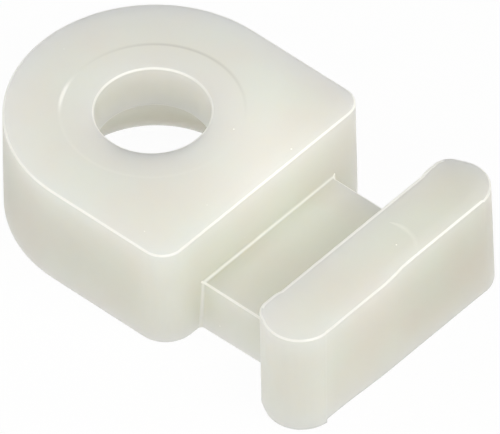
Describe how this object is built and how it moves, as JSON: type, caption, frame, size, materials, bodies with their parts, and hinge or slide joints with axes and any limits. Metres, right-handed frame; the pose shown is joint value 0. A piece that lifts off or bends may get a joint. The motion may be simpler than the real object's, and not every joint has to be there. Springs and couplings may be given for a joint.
{
  "type": "cable tie mount",
  "caption": "Moulded screw-down mount that anchors a cable tie: a flat eye for the screw, a low neck that the tie wraps, and a crossbar that keeps the tie in its channel.",
  "frame": {"origin": "on the screw axis, in the outer face that the screw head sinks into, which is the face that the part lies on", "axes": "+Z along the screw axis towards the wall face, +X from the screw axis to the crossbar, +Y along the crossbar"},
  "size_m": [0.0217, 0.0138, 0.0057],
  "materials": {
    "natural_nylon": "natural polyamide 6.6 as moulded: milky, faintly translucent, satin"
  },
  "bodies": {
    "root": {"tie_mount": "natural_nylon"}
  },
  "joints": []
}
